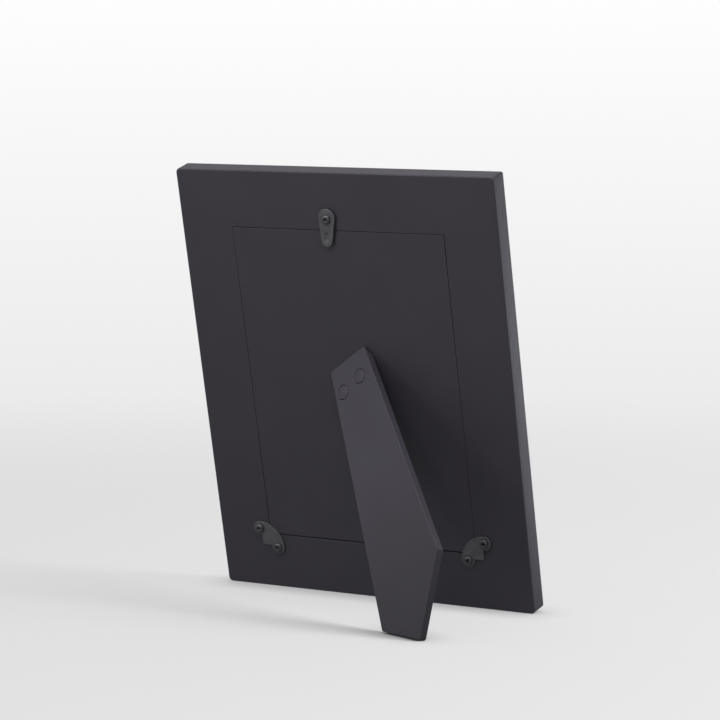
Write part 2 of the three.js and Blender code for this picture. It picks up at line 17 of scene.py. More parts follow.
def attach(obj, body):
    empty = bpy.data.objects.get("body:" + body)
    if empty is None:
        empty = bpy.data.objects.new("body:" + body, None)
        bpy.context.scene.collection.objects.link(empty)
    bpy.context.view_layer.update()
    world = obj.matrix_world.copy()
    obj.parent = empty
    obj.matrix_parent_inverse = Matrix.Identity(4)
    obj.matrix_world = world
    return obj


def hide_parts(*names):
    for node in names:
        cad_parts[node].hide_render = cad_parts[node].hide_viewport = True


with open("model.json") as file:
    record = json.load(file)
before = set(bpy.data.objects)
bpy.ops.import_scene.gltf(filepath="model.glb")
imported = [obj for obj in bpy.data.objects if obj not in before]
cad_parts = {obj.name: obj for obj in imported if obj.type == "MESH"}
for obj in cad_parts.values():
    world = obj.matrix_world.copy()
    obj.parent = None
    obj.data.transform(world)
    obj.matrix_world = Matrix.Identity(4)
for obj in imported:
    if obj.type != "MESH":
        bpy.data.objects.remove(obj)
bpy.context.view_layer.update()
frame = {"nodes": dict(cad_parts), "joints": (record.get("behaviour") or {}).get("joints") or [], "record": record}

MM = 0.001
WELD_DISTANCE = 0.002 * MM  # points closer than this become one after a cut
RAILS = ("rail_bottom", "rail_right", "rail_top", "rail_left")
SIDES = ("left", "right")
JOINTS = {joint["name"]: joint for joint in frame["joints"]}

# Frame and panel
RAIL_WIDTH = 32 * MM  # on the back, from the outside to the rabbet
LIP_OVERHANG = 4.7 * MM  # of the front lip past the rabbet's wall
SEAT_GAP = 0.05 * MM  # under the glass, and under a rivet's head
ARRIS_RADIUS = 0.8 * MM  # of the rounded outside edges
BACK_CORNER_RADIUS = 2.4 * MM  # of the sanded corners, which get sharper towards the front
FRONT_CORNER_RADIUS = 1.2 * MM
SIGHT_RADIUS = 0.6 * MM  # of the opening's front edge
SEAM_EASE = 0.15 * MM  # on both edges of the seam round the panel
PANEL_SKEW = math.radians(0.05)  # of the panel in its rabbet
PANEL_LIFT = 0.2 * MM  # of the panel in its rabbet, above the middle
PANEL_SPARE = Vector((0.17, -0.1)) * MM  # of the board on each side past the solid, across and upwards
SHARP_CORNER = 0.25 * MM  # radius of a corner that looks sharp

# Leg
LEG_MIDDLE = 2.2 * MM  # of the leg, from the middle of the hinge
LEG_TOP_WIDTH = 28 * MM
LEG_FLARE = math.radians(4.7)  # by which each side opens out downwards
LEG_CORNER_RADIUS = 1.5 * MM
LEG_EASE = 0.2 * MM  # of the edges of its faces

# Rivets
RIVET_HEAD_RADIUS = 3.9 * MM
RIVET_HEAD_THICKNESS = 0.8 * MM
RIVET_SHANK_RADIUS = 1.5 * MM
RIVET_TAIL_RADIUS = 2.2 * MM
RIVET_TAIL_THICKNESS = 0.5 * MM
RIVET_CLEARANCE = 0.2 * MM  # of the sunk seat, round the head
RIVET_EASE = 0.45 * MM  # of the head's edge and of the seat's rim
RIVET_CROWN = 0.35 * MM  # of the head's middle above its rim
RIVET_COAT = 0.08 * MM  # of paint round the head, which narrows its clearance

# Hinge
KNUCKLES = 5
KNUCKLE_GAP = 0.3 * MM
LEAF_THICKNESS = 0.8 * MM
LEAF_CORNER_RADIUS = 1.5 * MM
LEAF_EASE = 0.15 * MM
PIN_RADIUS = 0.75 * MM
PIN_HEAD_THICKNESS = 0.5 * MM
PIN_DOME = 0.25 * MM

# Screws
SCREW_HEAD_EDGE = 0.6 * MM  # height of the head's upright edge
SCREW_HEAD_HEIGHT = 1.6 * MM
SCREW_SHANK_RADIUS = 1.4 * MM
SCREW_TIP = 2.5 * MM  # length of the pointed end
SCREW_POINT = 0.1 * MM  # radius at the very end
HEAD_SQUARENESS = 0.65  # 1 for a round dome, and less for one with a fuller shoulder
RECESS_WIDTH = 1.1 * MM
RECESS_LENGTH = 3 * MM
RECESS_DEPTH = 1.5 * MM
RECESS_TAPER = 0.5  # of the recess's floor to its mouth
RECESS_CONE = 1.05 * MM  # radius of the funnel in the middle of the cross
RECESS_PIT = 0.1 * MM  # by which the funnel goes below the slots
RECESS_MOUTH = 0.3 * MM  # by which the cutters stand above the head
RECESS_TURN = 37  # degrees between one screw's recess and the next one's

# Corner plates
PLATE_END_RADIUS = 4 * MM
PLATE_BULGE = 3 * MM  # of the wide arc over the panel, past the round ends
PLATE_WAIST = 1.2 * MM  # by which the square tab falls short of the screws' own right angle
PLATE_TAB_RADIUS = 1.2 * MM
PLATE_EASE = 0.2 * MM

# Turn button
BUTTON_TILT = math.radians(-5)
BUTTON_RADIUS = 4.95 * MM
BUTTON_TIP_RADIUS = 3.4 * MM
BUTTON_REACH = 12.9 * MM
BUTTON_PIVOT = 0.8 * MM  # of the screw below the upper round end's middle
BUTTON_THICKNESS = 1 * MM
BUTTON_EASE = 0.3 * MM
COLLAR_RADIUS = 2.6 * MM
GROOVE_RADIUS = 1.7 * MM
GROOVE_DROP = 8.8 * MM  # of its upper round end's middle below the screw
GROOVE_LENGTH = 2.5 * MM
GROOVE_DEPTH = 0.6 * MM
GROOVE_SLOPE = 0.8  # of the groove's half width that its sloping wall takes

# Fineness of round shapes
ROUND_SIDES = 48
ARC_STEPS = 12
EASE_STEPS = 4
ARRIS_STEPS = 3  # as on the solids, so that the ring keeps inside them
DOME_STEPS = 5  # from the rim of a rivet's head to its middle
FLAT_WEIGHT = 80  # over 50, large faces outweigh their rounded edges in the shading

# Camera, with places in metres, and its lens and sensor in millimetres
CAMERA_PLACE = Vector((-0.727993, 1.296827, 0.284991))
CAMERA_TARGET = Vector((-0.008079, -0.006330, 0.136374))
CAMERA_ROLL = math.radians(0.585)
CAMERA_LENS = 138.54
CAMERA_SENSOR = 36

# Tones and lights, in linear light
WHITE = (1, 1, 1)
PAINT = (0.0300, 0.0266, 0.0368)
# The leg's paint: painted shade towards its foot and painted light towards its top, for light that falls off
# towards the floor
LEG_FOOT_PAINTED_SHADE = 0.68  # painted shade: of the paint at the leg's foot, to the frame's
LEG_TOP_PAINTED_LIGHT = 1.33
LEG_SHADE_FADE = 0.6  # of the leg's length, from the foot, over which the painted shade gives way to painted light
HARDWARE = (0.092, 0.091, 0.099)
SCREW_STEEL = (0.105, 0.105, 0.11)
HINGE_STEEL = (0.50, 0.50, 0.52)
PAPER = (0.84, 0.83, 0.80)
GLASS = (0.985, 0.993, 0.990)
FLOOR = 0.20  # of the floor as the camera sees it
FLOOR_BOUNCE = 0.165  # of the floor as the object sees it
FLOOR_GLOW = 0.39  # of the floor itself, so that shadows on it stay pale
FLOOR_CONTACT = 0.022  # metres from a thing on the floor within which the glow is dimmed: a painted contact shadow
FLOOR_NEAR = 0.3  # metres from the middle where the floor starts to fade into the backdrop
FLOOR_FAR = 1.1
BACKDROP_LOW = 0.774  # of the backdrop at its low angle and below
BACKDROP_HIGH = 0.985  # of the backdrop at its high angle and above
BACKDROP_LOW_ANGLE = math.radians(-9.4)  # of a line of sight, from level
BACKDROP_HIGH_ANGLE = math.radians(1.6)
AMBIENT = 0.472  # of the backdrop as the object sees it
COOL = (0.83, 0.86, 0.97)  # tint of the lights on the right edge
LIGHT_AIM = 0.12  # metres above the floor to which a light points

# Patterns in the materials
NOISE_LOW = 0.3  # most of a noise lies between these two
NOISE_HIGH = 0.7
STREAKS_ALONG = 14  # per metre
STREAKS_ACROSS = 1100


def placed(x_axis, y_axis, z_axis, origin):
    """The matrix with these axes and this origin."""
    matrix = Matrix((x_axis, y_axis, z_axis)).transposed().to_4x4()
    matrix.translation = origin
    return matrix


BACK = Vector(JOINTS["button_turn"]["axis"]).normalized()


def standing_matrix():
    """Takes a point of the lying frame to its place on the leaning one."""
    right = Vector((-1, 0, 0))
    up = BACK.cross(right)
    corners = [vertex.co for name in RAILS for vertex in frame["nodes"][name].data.vertices]
    lowest = min(corner.dot(up) for corner in corners)
    rearmost = max(corner.dot(BACK) for corner in corners)
    return placed(right, up, BACK, up * lowest + BACK * rearmost)


def hinge_matrix():
    """Takes a point of the folded leg to its place: x along the hinge line, y up the leg, from the pin."""
    along = Vector(JOINTS["leg_fold"]["axis"]).normalized()
    return placed(along, BACK.cross(along), BACK, Vector(JOINTS["leg_fold"]["pos_m"]))


STANDING = standing_matrix()
HINGE = hinge_matrix()
OPENING = math.radians(JOINTS["leg_fold"]["range_deg"][1])
LEG = HINGE @ Matrix.Rotation(-OPENING, 4, "X")
# Takes a shape drawn in x and y, and made thick along z, to one made thick along x
ALONG_X = placed(Vector((0, 1, 0)), Vector((0, 0, 1)), Vector((1, 0, 0)), Vector((0, 0, 0)))


def box_in(matrix, *names):
    """The lowest and highest corner of some CAD nodes, in the axes of a matrix."""
    inverse = matrix.inverted()
    points = [inverse @ vertex.co for name in names for vertex in frame["nodes"][name].data.vertices]
    low = Vector([min(point[i] for point in points) for i in range(3)])
    high = Vector([max(point[i] for point in points) for i in range(3)])
    return low, high


# Outlines: lists of points in a plane, anticlockwise


def arc(centre, radius, start, end, steps=ARC_STEPS):
    """Points of an arc, with both its ends."""
    angles = [start + (end - start) * i / steps for i in range(steps + 1)]
    return [
        Vector((centre[0] + radius * math.cos(angle), centre[1] + radius * math.sin(angle)))
        for angle in angles
    ]


def circle(x, y, radius):
    return arc((x, y), radius, 0, 2 * math.pi, ROUND_SIDES)[:-1]


def rounded_corners(corners, radius):
    """A convex outline with each corner rounded."""
    points = []
    for i, corner in enumerate(corners):
        before = (corners[i - 1] - corner).normalized()
        after = (corners[(i + 1) % len(corners)] - corner).normalized()
        half = before.angle(after) / 2
        inward = (before + after).normalized()
        centre = corner + inward * (radius / math.sin(half))
        middle = math.atan2(-inward.y, -inward.x)
        sweep = math.pi / 2 - half
        points += arc(centre, radius, middle - sweep, middle + sweep)
    return points


def rectangle(low, high, radius):
    """A rectangle with rounded corners, between two opposite ones."""
    corners = [(low.x, low.y), (high.x, low.y), (high.x, high.y), (low.x, high.y)]
    return rounded_corners([Vector(corner) for corner in corners], radius)


def teardrop(radius, tip_radius, top, reach):
    """Two round ends joined by straight sides, with their middles below the origin by top and reach."""
    taper = math.asin((radius - tip_radius) / (reach - top))
    upper = arc((0, -top), radius, -taper, math.pi + taper, 2 * ARC_STEPS)
    return upper + arc((0, -reach), tip_radius, math.pi + taper, 2 * math.pi - taper, 2 * ARC_STEPS)


def cross(length, width):
    """A cross of two equal bars."""
    far = length / 2
    near = width / 2
    arm = [Vector((near, -near)), Vector((far, -near)), Vector((far, near))]
    return [Matrix.Rotation(turn * math.pi / 2, 2) @ point for turn in range(4) for point in arm]


def inset(outline, distance):
    """An outline moved inward everywhere by one distance."""
    moved = []
    for i, point in enumerate(outline):
        before = (point - outline[i - 1]).normalized()
        after = (outline[(i + 1) % len(outline)] - point).normalized()
        normal = Vector((-before.y - after.y, before.x + after.x)).normalized()
        moved.append(point + normal * (distance / math.sqrt((1 + before.dot(after)) / 2)))
    return moved


def meeting(start, along, other_start, other_along):
    """Where one line meets another, each given by a point and a direction."""
    return start + along * ((other_start - start).cross(other_along) / along.cross(other_along))


# Meshes


def rounded_edge(radius, steps=EASE_STEPS):
    """Pairs of distance from a wall and depth under a face, round the edge from the wall to the face."""
    turns = [math.pi / 2 * i / steps for i in range(steps + 1)]
    return [(radius * (1 - math.cos(turn)), radius * (1 - math.sin(turn))) for turn in turns]


def skin(bm, levels):
    """Faces between outlines of equal length, listed upwards as pairs of outline and height."""
    rings = [[bm.verts.new((point.x, point.y, height)) for point in outline] for outline, height in levels]
    for low, high in zip(rings, rings[1:]):
        bridge(bm, low, high)
    return rings


def bridge(bm, low, high):
    """A strip of faces from one ring of points to the next."""
    for i in range(len(low)):
        bm.faces.new((low[i - 1], low[i], high[i], high[i - 1]))


def closed_skin(bm, levels):
    """Faces between outlines, and a flat face at each end."""
    rings = skin(bm, levels)
    bm.faces.new(reversed(rings[0]))
    bm.faces.new(rings[-1])


def eased_levels(outline_at, bottom, top, ease):
    """The levels of a plate whose upper and lower edges are rounded."""
    edge = rounded_edge(ease)
    lower = [(distance, bottom + depth) for distance, depth in reversed(edge)]
    upper = [(distance, top - depth) for distance, depth in edge]
    return [(inset(outline_at(height), distance), height) for distance, height in lower + upper]


def plate(bm, outline, bottom, top, ease):
    """A plate with rounded edges."""
    closed_skin(bm, eased_levels(lambda height: outline, bottom, top, ease))


def turned(bm, profile, x=0.0, y=0.0):
    """A round piece about an upright line, from pairs of radius and height listed upwards."""
    closed_skin(bm, [(circle(x, y, radius), height) for radius, height in profile])


def fill(bm, *rings):
    """A flat face inside the first ring, with a hole at each further one."""
    edges = [bm.edges.get((ring[i - 1], ring[i])) for ring in rings for i in range(len(ring))]
    bmesh.ops.triangle_fill(bm, use_beauty=True, edges=edges)


def join(bm, other):
    """Moves the faces of another mesh into this one."""
    carrier = bpy.data.meshes.new("carrier")
    other.to_mesh(carrier)
    other.free()
    bm.from_mesh(carrier)
    bpy.data.meshes.remove(carrier)


def mesh_object(name, bm, matrix):
    """An object made from a mesh that a matrix puts in its place, with all of its faces facing out."""
    bmesh.ops.transform(bm, matrix=matrix, verts=bm.verts)
    bmesh.ops.recalc_face_normals(bm, faces=bm.faces)
    for face in bm.faces:
        face.smooth = True
    mesh = bpy.data.meshes.new(name)
    bm.to_mesh(mesh)
    bm.free()
    made = bpy.data.objects.new(name, mesh)
    bpy.context.scene.collection.objects.link(made)
    return made


def weld(mesh):
    """Joins the points that a cut leaves on top of each other, and removes faces without an area."""
    bm = bmesh.new()
    bm.from_mesh(mesh)
    bmesh.ops.remove_doubles(bm, verts=bm.verts, dist=WELD_DISTANCE)
    bmesh.ops.triangulate(bm, faces=[face for face in bm.faces if len(face.verts) > 4])
    bmesh.ops.dissolve_degenerate(bm, edges=bm.edges, dist=WELD_DISTANCE)
    bm.to_mesh(mesh)
    bm.free()


def carve(piece, cutter):
    """Cuts one object out of another, and removes the cutter."""
    modifier = piece.modifiers.new("carve", "BOOLEAN")
    modifier.object = cutter
    modifier.operation = "DIFFERENCE"
    modifier.solver = "EXACT"
    depsgraph = bpy.context.evaluated_depsgraph_get()
    carved = bpy.data.meshes.new_from_object(piece.evaluated_get(depsgraph))
    piece.modifiers.clear()
    weld(carved)
    piece.data = carved
    bpy.data.objects.remove(cutter)


def finish_piece(piece, slot, body, *nodes):
    """Gives a piece its material and its body, and hides the CAD nodes that it stands for."""
    piece.data.materials.clear()
    piece.data.materials.append(MATERIALS[slot])
    normals = piece.modifiers.new("flat_faces", "WEIGHTED_NORMAL")
    normals.weight = FLAT_WEIGHT
    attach(piece, body)
    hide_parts(*nodes)


# Materials


def feed(tree, socket, value):
    """Gives an input a number or a colour, or links it to another node's output."""
    if isinstance(value, bpy.types.NodeSocket):
        tree.links.new(value, socket)
    else:
        socket.default_value = value


def node(tree, kind, inputs=None, **settings):
    """Adds a node, sets its options and feeds its inputs."""
    made = tree.nodes.new("ShaderNode" + kind)
    for name, value in settings.items():
        setattr(made, name, value)
    for name, value in (inputs or {}).items():
        feed(tree, made.inputs[name], value)
    return made


def noise(tree, vector, scale, detail=2.0):
    """A cloudy value, finer with a larger scale and rougher with more detail."""
    return node(tree, "TexNoise", {"Vector": vector, "Scale": scale, "Detail": detail}).outputs[0]


def rescaled(tree, value, from_low, from_high, low, high):
    """A value taken from one range to another, and held inside it."""
    inputs = {"Value": value, "From Min": from_low, "From Max": from_high, "To Min": low, "To Max": high}
    return node(tree, "MapRange", inputs).outputs[0]


def spread(tree, cloud, low, high):
    """A noise taken to another range."""
    return rescaled(tree, cloud, NOISE_LOW, NOISE_HIGH, low, high)


def combined(tree, operation, first, second):
    return node(tree, "Math", {0: first, 1: second}, operation=operation).outputs[0]


def blended(tree, factor, at_none, at_full):
    """One colour where a factor is 0, and another one where it is 1."""
    # The sockets for colours share their names with others, so they go by number
    return node(tree, "Mix", {0: factor, 6: at_none, 7: at_full}, data_type="RGBA").outputs[2]


def shade(colour, strength):
    """A colour made darker or lighter, with full opacity."""
    return (*(part * strength for part in colour), 1.0)


def mottled(tree, cloud, colour, darkest, lightest):
    """A colour that a noise makes darker and lighter."""
    return blended(tree, spread(tree, cloud, 0.0, 1.0), shade(colour, darkest), shade(colour, lightest))


def object_place(tree):
    return node(tree, "TexCoord").outputs["Object"]


def edge_mask(tree, width, strength):
    """Up to a given strength along a piece's edges, and 0 on its faces."""
    rounded = node(tree, "Bevel", {"Radius": width}, samples=4).outputs["Normal"]
    plain = node(tree, "NewGeometry").outputs["Normal"]
    agreement = node(tree, "VectorMath", {0: rounded, 1: plain}, operation="DOT_PRODUCT").outputs["Value"]
    return rescaled(tree, agreement, 1.0, 0.9, 0.0, strength)


def stretched(tree, place, scale):
    """A place scaled on each axis, so that a noise there is drawn out along the least scaled one."""
    return node(tree, "Mapping", {"Vector": place, "Scale": scale}).outputs[0]


def bumped(tree, height, distance, strength):
    """A surface direction that follows small heights."""
    return node(tree, "Bump", {"Height": height, "Distance": distance, "Strength": strength}).outputs[0]


def blank_material(name):
    material = bpy.data.materials.new(name)
    material.use_nodes = True
    return material, material.node_tree, material.node_tree.nodes["Principled BSDF"]


def lying(tree, vector):
    """A vector of the leaning frame, turned as the lying frame has it."""
    turn = STANDING.to_3x3().inverted().to_euler()
    return node(tree, "Mapping", {"Vector": vector, "Rotation": turn}).outputs[0]


def paint_streaks(tree, place):
    """Brush streaks along the outside edges, and none on the back and front faces."""
    flat = lying(tree, place)
    up = (STREAKS_ACROSS, STREAKS_ALONG, STREAKS_ACROSS)
    over = (STREAKS_ALONG, STREAKS_ACROSS, STREAKS_ACROSS)
    side = stretched(tree, flat, up)
    end = stretched(tree, flat, over)
    facing = node(tree, "SeparateXYZ", {0: lying(tree, node(tree, "TexCoord").outputs["Normal"])})
    sideways = combined(tree, "ABSOLUTE", facing.outputs["X"], 0)
    upright = combined(tree, "ABSOLUTE", facing.outputs["Y"], 0)
    along_side = combined(tree, "MULTIPLY", noise(tree, side, scale=1.0, detail=3.0), sideways)
    along_end = combined(tree, "MULTIPLY", noise(tree, end, scale=1.0, detail=3.0), upright)
    return combined(tree, "ADD", along_side, along_end)


def up_the_leg(tree, place, at_foot, at_top):
    """A value that changes evenly from the leg's foot, and stays the same near its top."""
    up = LEG.to_3x3().col[1]
    low, high = box_in(LEG, "easel_leg")
    start = up.dot(LEG.translation)
    reach = node(tree, "VectorMath", {0: place, 1: up}, operation="DOT_PRODUCT").outputs["Value"]
    end = low.y + (high.y - low.y) * LEG_SHADE_FADE
    return rescaled(tree, reach, start + low.y, start + end, at_foot, at_top)


def black_paint(name, rubbing_and_sheen, streaked=False, painted_leg_shade=False):
    """Matt black paint, rolled on: a fine stipple, slow changes of tone, and paler edges that are partly rubbed
    and partly a painted highlight. On the leg it also carries painted shade towards the foot.
    """
    material, tree, shader = blank_material(name)
    place = object_place(tree)
    stipple = noise(tree, place, scale=1500.0)
    colour = mottled(tree, noise(tree, place, scale=38.0, detail=3.0), PAINT, 0.94, 1.06)
    # Painted shade and light: the leg's paint darkens towards its foot and pales towards its top, as the light
    # falls off towards the floor
    if painted_leg_shade:
        painted_falloff = up_the_leg(tree, place, LEG_FOOT_PAINTED_SHADE, LEG_TOP_PAINTED_LIGHT)
        colour = node(tree, "VectorMath", {0: colour, "Scale": painted_falloff}, operation="SCALE").outputs[0]
    # Paler edges: partly rubbed paint, partly a painted highlight on the rounded arrises
    rubbed_and_sheen = edge_mask(tree, width=0.5 * MM, strength=rubbing_and_sheen)
    feed(tree, shader.inputs["Base Color"], blended(tree, rubbed_and_sheen, colour, shade(PAINT, 1.9)))
    feed(tree, shader.inputs["Roughness"], spread(tree, stipple, 0.5, 0.6))
    height = stipple
    if streaked:
        height = combined(tree, "ADD", stipple, paint_streaks(tree, place))
    feed(tree, shader.inputs["Normal"], bumped(tree, height, distance=0.03 * MM, strength=0.5))
    return material


def black_steel(name):
    """Satin black coating on pressed steel: a fine grain and paler patches, with painted shade darkening the
    edges.
    """
    material, tree, shader = blank_material(name)
    place = object_place(tree)
    grain = noise(tree, place, scale=2600.0)
    patches = noise(tree, place, scale=260.0, detail=3.0)
    colour = mottled(tree, patches, HARDWARE, 0.85, 1.15)
    # Painted shade: the edges are darker, for the dark outlines that shade and shadow give the plates and the
    # button
    edges = edge_mask(tree, width=0.3 * MM, strength=0.8)
    feed(tree, shader.inputs["Base Color"], blended(tree, edges, colour, shade(HARDWARE, 0.45)))
    feed(tree, shader.inputs["Roughness"], spread(tree, patches, 0.36, 0.5))
    shader.inputs["Metallic"].default_value = 0.2
    shader.inputs["Specular IOR Level"].default_value = 0.35
    feed(tree, shader.inputs["Normal"], bumped(tree, grain, distance=0.02 * MM, strength=0.4))
    return material


def screw_steel(name):
    """Blackened steel, glossier than the plates, with painted shade in the recess."""
    material, tree, shader = blank_material(name)
    marks = noise(tree, object_place(tree), scale=1800.0, detail=3.0)
    colour = mottled(tree, marks, SCREW_STEEL, 0.8, 1.2)
    # Painted shade: darker where the head hides itself from light, in the recess
    open_to_light = node(tree, "AmbientOcclusion", {"Distance": 1 * MM}, samples=8, only_local=True)
    out_of_shade = rescaled(tree, open_to_light.outputs["AO"], 0.5, 0.9, 0.0, 1.0)
    feed(tree, shader.inputs["Base Color"], blended(tree, out_of_shade, shade(SCREW_STEEL, 0.1), colour))
    feed(tree, shader.inputs["Roughness"], spread(tree, marks, 0.34, 0.46))
    shader.inputs["Metallic"].default_value = 0.85
    return material


def bare_steel(name):
    """Plain steel with fine drawing lines."""
    material, tree, shader = blank_material(name)
    lines = stretched(tree, object_place(tree), (150, 3000, 3000))
    drawn = noise(tree, lines, scale=1.0, detail=3.0)
    feed(tree, shader.inputs["Base Color"], mottled(tree, drawn, HINGE_STEEL, 0.85, 1.1))
    feed(tree, shader.inputs["Roughness"], spread(tree, drawn, 0.28, 0.42))
    shader.inputs["Metallic"].default_value = 1.0
    feed(tree, shader.inputs["Normal"], bumped(tree, drawn, distance=0.01 * MM, strength=0.3))
    return material


def clear_glass(name):
    """Picture glass with a trace of haze from wiping, which casts no shadow on the sheet behind it."""
    material, tree, shader = blank_material(name)
    smears = stretched(tree, object_place(tree), (25, 60, 60))
    haze = noise(tree, smears, scale=1.0, detail=4.0)
    feed(tree, shader.inputs["Base Color"], mottled(tree, haze, GLASS, 0.99, 1.0))
    feed(tree, shader.inputs["Roughness"], rescaled(tree, haze, 0.4, 0.8, 0.01, 0.06))
    shadow_ray = node(tree, "LightPath").outputs["Is Shadow Ray"]
    feed(tree, shader.inputs["Alpha"], combined(tree, "SUBTRACT", 1.0, shadow_ray))
    shader.inputs["Transmission Weight"].default_value = 1.0
    shader.inputs["IOR"].default_value = 1.45
    return material


def plain_paper(name):
    """A blank sheet of uncoated paper with fine fibres."""
    material, tree, shader = blank_material(name)
    place = object_place(tree)
    fibres = noise(tree, place, scale=1800.0, detail=5.0)
    clouds = noise(tree, place, scale=90.0, detail=3.0)
    feed(tree, shader.inputs["Base Color"], mottled(tree, clouds, PAPER, 0.99, 1.01))
    feed(tree, shader.inputs["Roughness"], spread(tree, fibres, 0.82, 0.95))
    feed(tree, shader.inputs["Normal"], bumped(tree, fibres, distance=0.03 * MM, strength=0.4))
    return material


def floor_material():
    """A pale matt floor that fades into the backdrop far from the object, with a painted contact shadow close to
    things on it.
    """
    material, tree, shader = blank_material("studio_floor")
    place = object_place(tree)
    clouds = noise(tree, place, scale=3.0)
    seen = node(tree, "LightPath").outputs["Is Camera Ray"]
    pale = mottled(tree, clouds, WHITE, FLOOR * 0.995, FLOOR * 1.005)
    feed(tree, shader.inputs["Base Color"], blended(tree, seen, shade(WHITE, FLOOR_BOUNCE), pale))
    feed(tree, shader.inputs["Roughness"], spread(tree, clouds, 0.85, 0.95))
    shader.inputs["Specular IOR Level"].default_value = 0.0
    radius = node(tree, "VectorMath", {0: place}, operation="LENGTH").outputs["Value"]
    inputs = {"Value": radius, "From Min": FLOOR_NEAR, "From Max": FLOOR_FAR, "To Min": 1.0, "To Max": 0.0}
    fade = node(tree, "MapRange", inputs, interpolation_type="SMOOTHSTEP").outputs[0]
    feed(tree, shader.inputs["Alpha"], fade)
    shader.inputs["Emission Color"].default_value = shade(WHITE, 1.0)
    glow = rescaled(tree, seen, 0.0, 1.0, 0.0, FLOOR_GLOW)
    # Painted contact shadow: the glow is dimmed close to things on the floor
    clear = node(tree, "AmbientOcclusion", {"Distance": FLOOR_CONTACT}).outputs["AO"]
    feed(tree, shader.inputs["Emission Strength"], combined(tree, "MULTIPLY", glow, clear))
    return material


MATERIALS = {
    "frame_paint": black_paint("frame_paint_finish", rubbing_and_sheen=0.3, streaked=True),
    "panel_paint": black_paint("panel_paint_finish", rubbing_and_sheen=0.1),
    "leg_paint": black_paint("leg_paint_finish", rubbing_and_sheen=0.06, painted_leg_shade=True),
    "leg_paint_steel": black_paint("rivet_paint_finish", rubbing_and_sheen=0.0, painted_leg_shade=True),
    "black_steel": black_steel("black_steel_finish"),
    "screw_black": screw_steel("screw_finish"),
    "bare_steel": bare_steel("bare_steel_finish"),
    "glass": clear_glass("glass_finish"),
    "paper": plain_paper("paper_finish"),
}


def finish_solids():
    """Gives every CAD node the material of its slot."""
    for part in frame["record"]["subparts"]:
        solid = frame["nodes"][part["node"]]
        solid.data.materials.clear()
        solid.data.materials.append(MATERIALS[part["material_slot"]])


# Pieces of the frame


def frame_ring():
    """The four rails under one coat of paint, which covers their mitres."""
    low, high = box_in(STANDING, *RAILS)
    ledge = box_in(STANDING, "glazing")[0].z - SEAT_GAP
    sight = RAIL_WIDTH + LIP_OVERHANG
    arris = rounded_edge(ARRIS_RADIUS, ARRIS_STEPS)
    seam = reversed(rounded_edge(SEAM_EASE))
    profile = [(distance, high.z - depth) for distance, depth in arris]
    profile += [(RAIL_WIDTH - distance, high.z - depth) for distance, depth in seam]
    profile += [(RAIL_WIDTH, ledge), (sight, ledge)]
    profile += [(sight - distance, low.z + depth) for distance, depth in rounded_edge(SIGHT_RADIUS)]
    profile += [(distance, low.z + depth) for distance, depth in reversed(arris)]
    levels = []
    for distance, height in profile:
        shift = Vector((distance, distance))
        towards_back = (height - low.z) / (high.z - low.z)
        corner = FRONT_CORNER_RADIUS + (BACK_CORNER_RADIUS - FRONT_CORNER_RADIUS) * towards_back
        radius = max(corner - distance, SHARP_CORNER)
        levels.append((rectangle(low.xy + shift, high.xy - shift, radius), height))
    bm = bmesh.new()
    rings = skin(bm, levels)
    bridge(bm, rings[-1], rings[0])
    finish_piece(mesh_object("frame_ring", bm, STANDING), "frame_paint", "frame", *RAILS)


def panel_board():
    """The backing panel, which sits a little askew in its rabbet."""
    low, high = box_in(STANDING, "backing_panel")
    middle = (low + high) / 2
    half = (high - low).xy / 2 + PANEL_SPARE
    bm = bmesh.new()
    plate(bm, rectangle(-half, half, SHARP_CORNER), low.z, high.z, SEAM_EASE)
    place = STANDING @ Matrix.Translation((middle.x, middle.y + PANEL_LIFT, 0))
    turn = Matrix.Rotation(PANEL_SKEW, 4, "Z")
    finish_piece(mesh_object("panel_board", bm, place @ turn), "panel_paint", "frame", "backing_panel")


def screw_middle(name):
    """The middle of a screw's head in the lying frame's plan."""
    low, high = box_in(STANDING, name)
    return ((low + high) / 2).xy


def screw_profile(radius, bottom, top):
    """Pairs of radius and height up a screw, from its point to the crown of its pan head."""
    seat = top - SCREW_HEAD_HEIGHT
    edge = seat + SCREW_HEAD_EDGE
    profile = [
        (SCREW_POINT, bottom),
        (SCREW_SHANK_RADIUS, bottom + SCREW_TIP),
        (SCREW_SHANK_RADIUS, seat),
        (radius, seat),
    ]
    for i in range(ARC_STEPS + 1):
        rise = math.pi / 2 * i / (ARC_STEPS + 1)
        shoulder = math.cos(rise) ** HEAD_SQUARENESS
        profile.append((radius * shoulder, edge + (top - edge) * math.sin(rise)))
    return profile


def cut_recess(piece, place, crown):
    """Cuts a cross of tapering slots into a screw's head, and a funnel into the middle of the cross."""
    bottom = crown - RECESS_DEPTH
    top = crown + RECESS_MOUTH
    base = cross(RECESS_LENGTH * RECESS_TAPER, RECESS_WIDTH * RECESS_TAPER)
    mouth = cross(RECESS_LENGTH, RECESS_WIDTH)
    slots = bmesh.new()
    closed_skin(slots, [(base, bottom), (mouth, top)])
    carve(piece, mesh_object("slots", slots, place))
    funnel = bmesh.new()
    turned(funnel, [(RECESS_CONE * RECESS_TAPER, bottom - RECESS_PIT), (RECESS_CONE, top)])
    carve(piece, mesh_object("funnel", funnel, place))


def screw_piece(name, turn):
    """A pan-head screw with a cross recess."""
    low, high = box_in(STANDING, name)
    bm = bmesh.new()
    turned(bm, screw_profile((high.x - low.x) / 2, low.z, high.z))
    middle = screw_middle(name)
    place = STANDING @ Matrix.Translation((middle.x, middle.y, 0)) @ Matrix.Rotation(turn, 4, "Z")
    piece = mesh_object(name.replace("screw", "screw_head"), bm, place)
    cut_recess(piece, place, high.z)
    finish_piece(piece, "screw_black", "frame", name)


